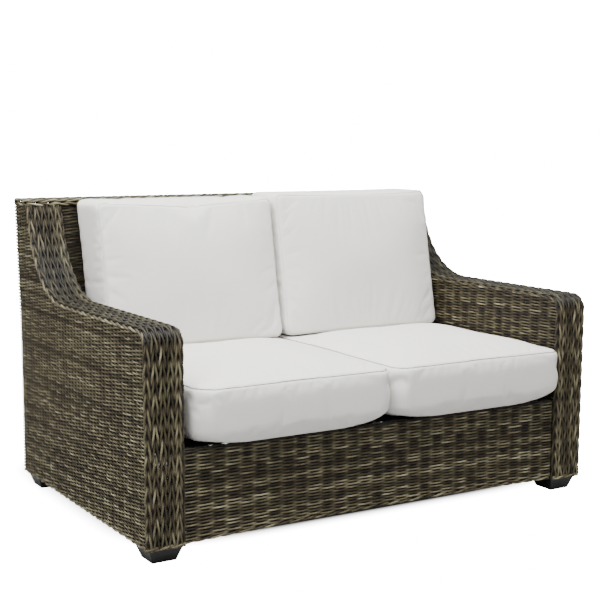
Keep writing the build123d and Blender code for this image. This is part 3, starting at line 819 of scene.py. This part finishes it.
def foot_rope():
    """Rope along the foot of the shell and both arm fronts, and along the apron's arch."""
    level = FOOT_Z + ROPED.radius + ROPED.bulge
    x = OUTER_X - ROPED.depth
    front = FRONT_Y + ROPED.depth
    back = rear_y(level) - ROPED.depth
    corners = ((-INNER_X, front), (-x, front), (-x, back), (x, back), (x, front), (INNER_X, front))
    rim = rounded_path(corners, (BAND_TURN,) * 4)
    marks = rope_marks(lengths_along(rim)[-1])
    spots, left = sample_path(rim, marks)
    strands = rope(columns(*spots.T, level), columns(*left.T, 0), marks, 1)
    marks = rope_marks(INNER_X * 2)
    x = marks - INNER_X
    points = columns(x, APRON_LOW.y + ROPED.depth, apron_foot(x) + level - FOOT_Z)
    return strands + rope(points, (0, -1, 0), marks, 1), []


def dress(name, kind, node, made, painted_shade_shift=0.0):
    """Woven piece, which takes its node's place on the frame."""
    piece = woven(name, kind, *made, painted_shade_shift)
    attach(piece, "frame")
    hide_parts(node)


# The inner sides, the bands and the inner back are darkened by painted shade through their tone shift
for end, side in (("left", -1), ("right", 1)):
    dress("side_weave_" + end, TWILL, "side_outer_skin_" + end, outer_side(side))
    dress("inner_weave_" + end, PLAIN, "side_inner_skin_" + end, inner_side(side), -0.3)
    dress("band_weave_" + end, ROPED, "arm_band_skin_" + end, arm_band(side), -0.15)
dress("rear_weave_lower", TWILL, "back_rear_skin", rear(SHELL_LOW, MIDDLE_Z))
dress("rear_weave_upper", TWILL, "back_rear_skin", rear(MIDDLE_Z, CAP_Z))
dress("inner_back_weave_lower", TWILL, "back_front_skin", inner_back(BACK_LOW.z, MIDDLE_Z), -0.5)
dress("inner_back_weave_upper", TWILL, "back_front_skin", inner_back(MIDDLE_Z, CAP_Z), -0.5)
dress("apron_weave", PLAIN, "apron_skin", apron())
dress("foot_rope", ROPED, "apron_skin", foot_rope())
dress("top_rope", ROPED, "top_braid", cap())


# Painted shade: dark plates packed close behind the weave, where the inside is only shade, so that no light
# shows through

SHADE_PLATE_DEPTH = 0.0074
SHADE_PLATE_THICKNESS = 0.0006
SHADE_PLATE_EDGE = 0.012
APRON_SHADE_PLATE_DEPTH = 0.0112


def slab(name, ring, move):
    """Closed plate from a flat outline and the way that it thickens."""
    shape = bmesh.new()
    near, far = ([shape.verts.new(np.array(spot) + shift) for spot in ring] for shift in (0, np.array(move)))
    for corners in (near, far, *zip(near, near[1:] + near[:1], far[1:] + far[:1], far)):
        shape.faces.new(corners)
    bmesh.ops.recalc_face_normals(shape, faces=shape.faces)
    mesh = bpy.data.meshes.new(name)
    shape.to_mesh(mesh)
    shape.free()
    mesh.materials.append(SHADED)
    return placed(name, mesh)


def shade_plates():
    """Dark plates of painted shade behind the weave of both sides, the apron and the rear."""
    levels = np.array((CAP_Z, KNEE_Z, SHELL_LOW))
    rear_face = rear_y(levels) - SHADE_PLATE_DEPTH
    edge = contour(SHADE_PLATE_EDGE)
    plates = []
    for side in (-1, 1):
        x = side * (OUTER_X - SHADE_PLATE_DEPTH)
        ring = [*columns(x, *edge.T), *columns(x, rear_face - SHADE_PLATE_THICKNESS, levels)]
        plates.append(slab("side_shade_plate", ring, (-side * SHADE_PLATE_THICKNESS, 0, 0)))
        x = side * (INNER_X + APRON_SHADE_PLATE_DEPTH)
        low = INNER_LOW.z + SHELL_TURN
        ring = [(x, edge[0, 0], low)] + [(x, y, z) for y, z in edge if z > low + SHELL_TURN]
        ring += [(x, inner_back_y(z), z) for z in (CAP_Z, low)]
        plates.append(slab("inner_shade_plate", ring, (side * SHADE_PLATE_THICKNESS, 0, 0)))
    low = FOOT_Z + APRON_ARCH + SHELL_TURN
    high = APRON_HIGH.z - SHADE_PLATE_EDGE
    face = APRON_LOW.y + APRON_SHADE_PLATE_DEPTH
    ring = [(x, face, z) for x, z in ((-INNER_X, low), (INNER_X, low), (INNER_X, high), (-INNER_X, high))]
    plates.append(slab("apron_shade_plate", ring, (0, SHADE_PLATE_THICKNESS, 0)))
    x = OUTER_X - SHADE_PLATE_EDGE
    ring = [*columns(-x, rear_face, levels), *columns(-x, rear_face - SHADE_PLATE_THICKNESS, levels)[::-1]]
    plates.append(slab("rear_shade_plate", ring, (x * 2, 0, 0)))
    piece = joined("weave_shade_plates", plates)
    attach(piece, "frame")


shade_plates()


# Cushions: a sewn cover of two panels and a boxing strip, filled by simulation.
# In plan a cushion's sides go right, far, left, near, and the far side is a seat's
# rear or a back's top. Each side is followed by the corner that it ends in.

# The boxing's line gives how far the edge is rounded off at shares of its height.

SEAT = {
    "draws": (0.004,) * 4, "boxing": 0.158, "crown": 0.045, "run": 0.188, "shelf": 0.150,
    "line": ((0.0, 1.0), (0.04, 0.42), (0.13, 0.1), (0.44, 0.0), (0.56, 0.0), (0.9, 0.05), (1.0, 0.18)),
}
BACK = {
    "corners": (0.021,) * 4, "boxing": 0.172, "crown": 0.032, "run": 0.169, "rear_crown": 0.012,
    "line": ((0.0, 0.2), (0.1, 0.06), (0.44, 0.0), (0.7, 0.0), (0.92, 0.02), (1.0, 0.1)),
}
SEAT_CORNERS = {"left": (0.040, 0.040, 0.064, 0.046), "right": (0.040, 0.040, 0.050, 0.032)}
SEAT_SHIFTS = {"left": (0.020, 0.011), "right": (0.011, 0.0)}
SEAT_FORWARD = 0.006
BACK_DRAWS = {"left": (0.004, 0.014, 0.004, 0.003), "right": (0.004, 0.005, 0.004, 0.003)}
BACK_DROPS = {"left": 0.010, "right": 0.0}
BACK_SHIFT = 0.013
REST_CLEARANCE = 0.0003

# Form of the covers: edges that round off through the boxing, the crown's slope,
# the low shelf under a back cushion, and a seat's front corners, which lift a little
EDGE_ROUND = 0.034
CROWN_POWER = 2.2
SHELF_SHARE = 0.10
SHELF_RIM = 0.02
CORNER_LIFT = 0.027
CORNER_LIFT_REACH = 0.080
SIDE_POINTS = 30
ARC_POINTS = 10
PANEL_RINGS = 26
BOXING_RINGS = 19
INNERMOST_RING = 0.02
SEAM_POINTS = 600

# Filling: the remeshed grid, the crown it starts with, the pressure, how far a
# point may swell, and what is held or kept in its room
VOXEL = 0.009
START_CROWN = 0.62
FILL_STEPS = 20
FILL_PRESSURE = 4.0
FILL_SHRINK = -0.012
MOST_SWELL = 0.026
SIDE_SWELL = 0.001
SOFT_EDGE = 0.004
SEAM_HOLD = 0.0065
SEAM_HOLD_REACH = 0.016
REST_HOLD = 0.004
END_HOLD = 0.003
SHELF_HOLD = 0.02
SHELF_GAP = 0.0002

# Seams
SEAM_DEPTH = 0.0020
SEAM_WIDTH = 0.0042
THREAD_RADIUS = 0.00075
THREAD_SIDES = 5
THREAD_LIFT = 0.4
STITCH_LENGTH = 0.0042
STITCH_SPACING = 0.0060
STITCH_RADIUS_SHARE = 1.2


def plan_outline(width, length, corners, draws, inset):
    """Rounded plan of a cushion whose sides draw in between the corners."""
    across, along = width / 2 - inset, length / 2 - inset
    share = np.linspace(0, 1, SIDE_POINTS, endpoint=False)
    turn = np.linspace(0, pi / 2, ARC_POINTS, endpoint=False)
    points = []
    for index, (corner, draw) in enumerate(zip(corners, draws)):
        reach, half = (along, across) if index % 2 else (across, along)
        first = corners[index - 1] - half
        run = first + share * (half - corner - first)
        line = columns(reach - draw * 4 * share * (1 - share), run)
        arc = columns(reach - corner + corner * np.cos(turn), half - corner + corner * np.sin(turn))
        points.append(spun(np.concatenate((line, arc)), index * pi / 2))
    return np.concatenate(points)


def ramp(distance, run):
    """Share of its full height that a crown has at a distance from its edge."""
    return 1 - (1 - np.clip(distance / run, 0, 1)) ** CROWN_POWER


def soft_limit(values, limit):
    """Values that ease towards a limit instead of passing it."""
    over = values - (limit - SOFT_EDGE)
    return np.where(over > 0, limit - SOFT_EDGE + SOFT_EDGE * np.tanh(over / SOFT_EDGE), values)


@dataclass
class Pad:
    """Cushion in its own measures: across, along its plan and through its thickness."""
    name: str
    middle: float
    start: tuple
    width: float
    length: float
    corners: tuple
    draws: tuple
    boxing: float
    line: tuple
    crown: float
    run: float
    rear_crown: float = 0.0
    shelf: float = 0.0

    def __post_init__(self):
        self.seams = (self.rear_crown, self.rear_crown + self.boxing)
        self.leans = self.rear_crown > 0

    def to_world(self, points):
        across, along, through = points.T
        if self.leans:
            z = self.start[1] + along
            y = inner_back_y(z) - (REST_CLEARANCE + through) / cos(BACK_LEAN)
        else:
            y, z = self.start[0] + along, self.start[1] + through
        return columns(self.middle + across, y, z)

    def from_world(self, points):
        x, y, z = points.T
        if self.leans:
            through = (inner_back_y(z) - y) * cos(BACK_LEAN) - REST_CLEARANCE
            return columns(x - self.middle, z - self.start[1], through)
        return columns(x - self.middle, y - self.start[0], z - self.start[1])

    def outline(self, inset):
        ring = plan_outline(self.width, self.length, self.corners, self.draws, inset)
        return ring + np.array((0, self.length / 2))

    def lift(self, ring):
        """How far the lower front corners stand off the deck."""
        if self.leans:
            return 0
        across, along = self.width / 2 - np.abs(ring[:, 0]), ring[:, 1]
        return CORNER_LIFT * np.exp(-(across ** 2 + along ** 2) / CORNER_LIFT_REACH ** 2)

    def rise(self, across, along):
        """Share of the crown that the front or upper panel reaches at a place."""
        inward = self.width / 2 - np.abs(across)
        full = ramp(inward, self.run) * ramp(along, self.run)
        full = full * ramp(self.length - self.shelf - along, self.run)
        if not self.shelf:
            return full
        low = ramp(inward, SHELF_RIM) * ramp(self.length - along, SHELF_RIM)
        return np.maximum(full, SHELF_SHARE * low)

    def cage(self, crown_share):
        """Closed rings from the middle of the lower panel to the middle of the upper."""
        middle = np.array((0, self.length / 2))
        spread = np.linspace(INNERMOST_RING, 1, PANEL_RINGS, endpoint=False)
        heights = np.linspace(0, 1, BOXING_RINGS)
        sides = [self.outline(inset * EDGE_ROUND) for inset in np.interp(heights, *np.array(self.line).T)]
        rings = []
        for share in spread:
            ring = middle + (sides[0] - middle) * share
            rise = self.rise(*ring.T) if self.leans else 0
            rings.append((ring, self.rear_crown * (1 - rise * crown_share) + self.lift(ring)))
        for height, ring in zip(heights, sides):
            rings.append((ring, self.seams[0] + self.boxing * height + self.lift(ring) * (1 - height) ** 2))
        for share in spread[::-1]:
            ring = middle + (sides[-1] - middle) * share
            rings.append((ring, self.seams[1] + self.crown * crown_share * self.rise(*ring.T)))
        count = len(ring)
        points = [columns(*ring.T, height) for ring, height in rings]
        faces = [
            (row + spot, row + (spot + 1) % count, row + count + (spot + 1) % count, row + count + spot)
            for row in range(0, (len(rings) - 1) * count, count) for spot in range(count)
        ]
        faces.append(tuple(reversed(range(count))))
        faces.append(tuple(range((len(rings) - 1) * count, len(rings) * count)))
        return np.concatenate(points), faces

    def seam_line(self, which):
        """Path of the rear or front seam round the cushion."""
        ring = self.outline(self.line[-1 if which else 0][1] * EDGE_ROUND)
        ring = np.concatenate((ring, ring[:1]))
        ring, _ = sample_path(ring, np.arange(SEAM_POINTS) * lengths_along(ring)[-1] / SEAM_POINTS)
        return columns(*ring.T, self.seams[which] + (0 if which else self.lift(ring)))

    def held(self, points):
        """Points that the filling doesn't move: seams, and where the cushion rests."""
        across, along, through = points.T
        edge = np.minimum(self.width / 2 - np.abs(across), np.minimum(along, self.length - along))
        rear, front = (
            (np.abs(through - seam) < SEAM_HOLD) & (edge < SEAM_HOLD_REACH) for seam in self.seams
        )
        if self.leans:
            return front | rear | (along < END_HOLD)
        rest = (through < REST_HOLD) | (along > self.length - END_HOLD)
        shelf = (along > self.length - self.shelf - REST_HOLD) & (through > self.boxing - SHELF_HOLD)
        return front | rest | shelf

    def kept_in(self, points):
        """The filled shape, drawn to the room that the cushion has."""
        across, along, through = points.T
        above = through - self.seams[1]
        through = np.where(above > 0, self.seams[1] + above * self.crown / above.max(), through)
        across = soft_limit(across, self.width / 2 + SIDE_SWELL)
        across = -soft_limit(-across, self.width / 2 + SIDE_SWELL)
        through = np.maximum(through, 0)
        if self.leans:
            along = soft_limit(np.maximum(along, 0), self.length)
        else:
            along = -soft_limit(-np.minimum(along, self.length), SIDE_SWELL)
            shelf = self.boxing + self.crown * SHELF_SHARE - SHELF_GAP
            through = np.where(along > self.length - self.shelf, np.minimum(through, shelf), through)
        return columns(across, along, through)


def mesh_points(mesh):
    """Coordinates of a mesh's points."""
    points = np.empty(len(mesh.vertices) * 3, np.float32)
    mesh.vertices.foreach_get("co", points)
    return points.reshape(-1, 3).astype(float)


def move_points(mesh, points):
    mesh.vertices.foreach_set("co", points.astype(np.float32).ravel())
    mesh.update()


def remeshed(pad, crown_share):
    """Cover of even small faces, in its place."""
    points, faces = pad.cage(crown_share)
    mesh = bpy.data.meshes.new(pad.name)
    mesh.from_pydata(pad.to_world(points).tolist(), [], faces)
    if pad.leans:
        mesh.flip_normals()
    shell = placed(pad.name, mesh)
    modifier = shell.modifiers.new("remesh", "REMESH")
    modifier.mode = "VOXEL"
    modifier.voxel_size = VOXEL
    return settled(pad.name, shell)


def filled(piece, pad):
    """Where air pressure moves a cover whose seams and resting faces stay."""
    before = mesh_points(piece.data)
    hold = piece.vertex_groups.new(name="held")
    hold.add(np.flatnonzero(pad.held(pad.from_world(before))).tolist(), 1.0, "REPLACE")
    modifier = piece.modifiers.new("fill", "CLOTH")
    cloth = modifier.settings
    cloth.quality = 5
    cloth.vertex_group_mass = "held"
    cloth.use_pressure = True
    cloth.uniform_pressure_force = FILL_PRESSURE
    cloth.effector_weights.gravity = 0
    cloth.shrink_min = FILL_SHRINK
    modifier.collision_settings.use_collision = False
    scene = bpy.context.scene
    for step in range(1, FILL_STEPS + 1):
        scene.frame_set(step)
    depsgraph = bpy.context.evaluated_depsgraph_get()
    move = mesh_points(piece.evaluated_get(depsgraph).data) - before
    piece.modifiers.clear()
    piece.vertex_groups.clear()
    scene.frame_set(1)
    length = np.linalg.norm(move, axis=1)
    return before + move * (np.minimum(length, MOST_SWELL) / np.maximum(length, 1e-9))[:, None]


def sewn(piece, seams):
    """Draw the cover in along its seams."""
    spots = np.concatenate(seams)
    tree = KDTree(len(spots))
    for index, spot in enumerate(spots):
        tree.insert(spot, index)
    tree.balance()
    points = mesh_points(piece.data)
    for vertex in piece.data.vertices:
        _, _, distance = tree.find(vertex.co)
        if distance < SEAM_WIDTH * 3:
            pull = SEAM_DEPTH * np.exp(-(distance / SEAM_WIDTH) ** 2)
            points[vertex.index] -= np.array(vertex.normal) * pull
    move_points(piece.data, points)


def seam_tree():
    """Lines become a sunk thread with stitches over it."""
    tree = new_tree(
        "Seam stitches", Float=["Thread radius", "Stitch length", "Spacing"], Material=["Material"]
    )
    given = add(tree, "NodeGroupInput").outputs
    curve = made(tree, "GeometryNodeMeshToCurve", {"Mesh": given["Geometry"]})
    section = {"Resolution": THREAD_SIDES, "Radius": given["Thread radius"]}
    ring = made(tree, "GeometryNodeCurvePrimitiveCircle", section)
    thread = made(tree, "GeometryNodeCurveToMesh", {"Curve": curve, "Profile Curve": ring})
    spacing = {"Curve": curve, "Length": given["Spacing"]}
    even = made(tree, "GeometryNodeResampleCurve", spacing, mode="LENGTH")
    ahead = made(tree, "GeometryNodeInputTangent")
    turn = made(tree, "FunctionNodeAlignRotationToVector", {"Vector": ahead}, axis="Z")
    stitch = add(tree, "GeometryNodeMeshCylinder", {
        "Vertices": THREAD_SIDES, "Depth": given["Stitch length"],
        "Radius": maths(tree, "MULTIPLY", given["Thread radius"], STITCH_RADIUS_SHARE),
    }).outputs["Mesh"]
    stitches = {"Points": even, "Instance": stitch, "Rotation": turn}
    row = made(tree, "GeometryNodeInstanceOnPoints", stitches)
    both = add(tree, "GeometryNodeJoinGeometry")
    tree.links.new(thread, both.inputs[0])
    tree.links.new(row, both.inputs[0])
    whole = made(tree, "GeometryNodeRealizeInstances", {"Geometry": both.outputs[0]})
    done = add(tree, "GeometryNodeSetMaterial", {"Geometry": whole, "Material": given["Material"]})
    add(tree, "NodeGroupOutput", {"Geometry": done.outputs[0]})
    return tree


SEAM_TREE = seam_tree()


def on_cover(piece, line):
    """A line laid on a cover, half sunk into it."""
    laid = []
    for spot in line:
        _, place, facing, _ = piece.closest_point_on_mesh(spot)
        laid.append(place + facing * THREAD_RADIUS * THREAD_LIFT)
    return np.array(laid)


def cushion(body, pad, thread):
    """Filled cover and its seams, in place of a body's cover and core."""
    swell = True
    shell = remeshed(pad, START_CROWN if swell else 1.0)
    points = filled(shell, pad) if swell else mesh_points(shell.data)
    move_points(shell.data, pad.to_world(pad.kept_in(pad.from_world(points))))
    finer = shell.modifiers.new("finer", "SUBSURF")
    finer.levels = finer.render_levels = 1
    cover = settled(pad.name, shell)
    cover.data.shade_smooth()
    lines = [pad.to_world(pad.seam_line(which)) for which in (0, 1)]
    sewn(cover, [on_cover(cover, line) for line in lines])
    cover.data.materials.clear()
    cover.data.materials.append(FINISHES["cushion_canvas"])
    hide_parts(body + "_cover", body + "_core")
    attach(cover, body)
    strands = [Strand(on_cover(cover, line), (0, 0, 1), 0, closed=True) for line in lines]
    stitches = grown(body + "_seams", strand_lines("seams", strands), SEAM_TREE, {
        "Thread radius": THREAD_RADIUS, "Stitch length": STITCH_LENGTH, "Spacing": STITCH_SPACING,
        "Material": thread,
    })
    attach(stitches, body)


for hand in ("left", "right"):
    body = "seat_cushion_" + hand
    low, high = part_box(body + "_cover")
    start, end = (side + shift for side, shift in zip((low.x, high.x), SEAT_SHIFTS[hand]))
    cushion(body, Pad(
        name=body + "_canvas", middle=(start + end) / 2, start=(low.y - SEAT_FORWARD, low.z),
        width=end - start, length=high.y - low.y + SEAT_FORWARD, corners=SEAT_CORNERS[hand], **SEAT
    ), SEAT_SHADED_THREAD)
    body = "back_cushion_" + hand
    low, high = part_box(body + "_cover")
    cushion(body, Pad(
        name=body + "_canvas", middle=(low.x + high.x) / 2 + BACK_SHIFT, start=(low.y, low.z),
        width=high.x - low.x, length=high.z - low.z - BACK_DROPS[hand], draws=BACK_DRAWS[hand], **BACK
    ), BACK_THREAD)


# Floor, light and camera

CAMERA_PLACE = (-2.0092, -3.3165, 1.0920)
CAMERA_YAW = 0.5443
CAMERA_PITCH = 0.1455
CAMERA_ROLL = 0.0039
CAMERA_SENSOR = 36.0
CAMERA_LENS = 76.3
CAMERA_SHIFT_Y = 0.0334
LAMP_TARGET = (0, 0, 0.4)
HORIZON_STRENGTH = 0.32
ZENITH_STRENGTH = 1.7
BACKDROP_STRENGTH = 25.0

# The floor glows outside a squarish ring round the loveseat: for X and Y, half the
# ring's width and the shift of its middle as a share of that, then how square it
# is and the shares of its size between which the glow grows
FLOOR_REACH = 60.0
FLOOR_COLOUR = (0.86, 0.86, 0.86, 1)
FLOOR_BOUNCE = (0.34, 0.34, 0.34, 1)
FLOOR_GLOW = 22.0
GLOW_SPANS = ((0.745, -0.067), (0.56, -0.357))
GLOW_POWER = 6.0
GLOW_START = 0.94
GLOW_FULL = 1.12


def photograph_camera():
    """Camera that sees the loveseat as the photo does."""
    data = bpy.data.cameras.new("camera")
    data.sensor_width = CAMERA_SENSOR
    data.lens = CAMERA_LENS
    data.shift_y = CAMERA_SHIFT_Y
    camera = placed("camera", data)
    heading = Matrix.Rotation(-CAMERA_YAW, 4, "Z")
    tilt = Matrix.Rotation(pi / 2 - CAMERA_PITCH, 4, "X")
    roll = Matrix.Rotation(CAMERA_ROLL, 4, "Z")
    camera.matrix_world = Matrix.Translation(CAMERA_PLACE) @ heading @ tilt @ roll
    bpy.context.scene.camera = camera


def floor():
    """Pale floor, which the camera sees glow round the loveseat."""
    size = FLOOR_REACH
    corners = [(-size, -size, 0), (size, -size, 0), (size, size, 0), (-size, size, 0)]
    mesh = bpy.data.meshes.new("floor")
    mesh.from_pydata(corners, [], [(0, 1, 2, 3)])
    ground = placed("floor", mesh)
    material = bpy.data.materials.new("pale floor")
    material.use_nodes = True
    tree = material.node_tree
    tree.nodes.remove(tree.nodes["Principled BSDF"])
    spot = add(tree, "ShaderNodeSeparateXYZ", {0: object_place(tree)}).outputs
    sides = []
    for axis, (half, shift) in enumerate(GLOW_SPANS):
        side = maths(tree, "ABSOLUTE", maths(tree, "MULTIPLY_ADD", spot[axis], 1 / half, shift))
        sides.append(maths(tree, "POWER", side, GLOW_POWER))
    away = maths(tree, "POWER", maths(tree, "ADD", *sides), 1 / GLOW_POWER)
    glow = add(tree, "ShaderNodeMapRange", {
        "Value": away, "From Min": GLOW_START, "From Max": GLOW_FULL, "To Max": FLOOR_GLOW,
    }, interpolation_type="SMOOTHSTEP").outputs["Result"]
    seen = made(tree, "ShaderNodeBsdfDiffuse", {"Color": FLOOR_COLOUR})
    lit = made(tree, "ShaderNodeEmission", {"Strength": glow})
    bright = made(tree, "ShaderNodeAddShader", {0: seen, 1: lit})
    quiet = made(tree, "ShaderNodeBsdfDiffuse", {"Color": FLOOR_BOUNCE})
    looked_at = add(tree, "ShaderNodeLightPath").outputs["Is Camera Ray"]
    whole = made(tree, "ShaderNodeMixShader", {0: looked_at, 1: quiet, 2: bright})
    feed(tree, tree.nodes["Material Output"], {"Surface": whole})
    mesh.materials.append(material)


def softbox(name, place, size, power):
    """Square lamp that faces the loveseat."""
    data = bpy.data.lights.new(name, "AREA")
    data.shape = "RECTANGLE"
    data.size = data.size_y = size
    data.energy = power
    lamp = placed(name, data)
    lamp.location = place
    lamp.rotation_euler = (Vector(LAMP_TARGET) - Vector(place)).to_track_quat("-Z", "Y").to_euler()


def studio():
    """Pale dome, brighter overhead, with a soft key light from the front left."""
    world = bpy.data.worlds.new("studio")
    world.use_nodes = True
    tree = world.node_tree
    way = add(tree, "ShaderNodeSeparateXYZ", {0: add(tree, "ShaderNodeTexCoord").outputs["Generated"]})
    height = add(tree, "ShaderNodeMapRange", {
        "Value": way.outputs["Z"], "To Min": HORIZON_STRENGTH, "To Max": ZENITH_STRENGTH,
    }, interpolation_type="SMOOTHSTEP").outputs["Result"]
    looked_at = add(tree, "ShaderNodeLightPath").outputs["Is Camera Ray"]
    strength = ranged(tree, looked_at, height, BACKDROP_STRENGTH)
    feed(tree, tree.nodes["Background"], {"Color": (1.0, 1.0, 1.0, 1), "Strength": strength})
    bpy.context.scene.world = world
    softbox("top light", (-0.9, -0.55, 3.5), 2.2, 280)
    softbox("key light", (-4.0, -1.6, 3.0), 2.0, 90)
    softbox("fill light", (3.0, -3.2, 2.4), 2.4, 8)


photograph_camera()
floor()
studio()
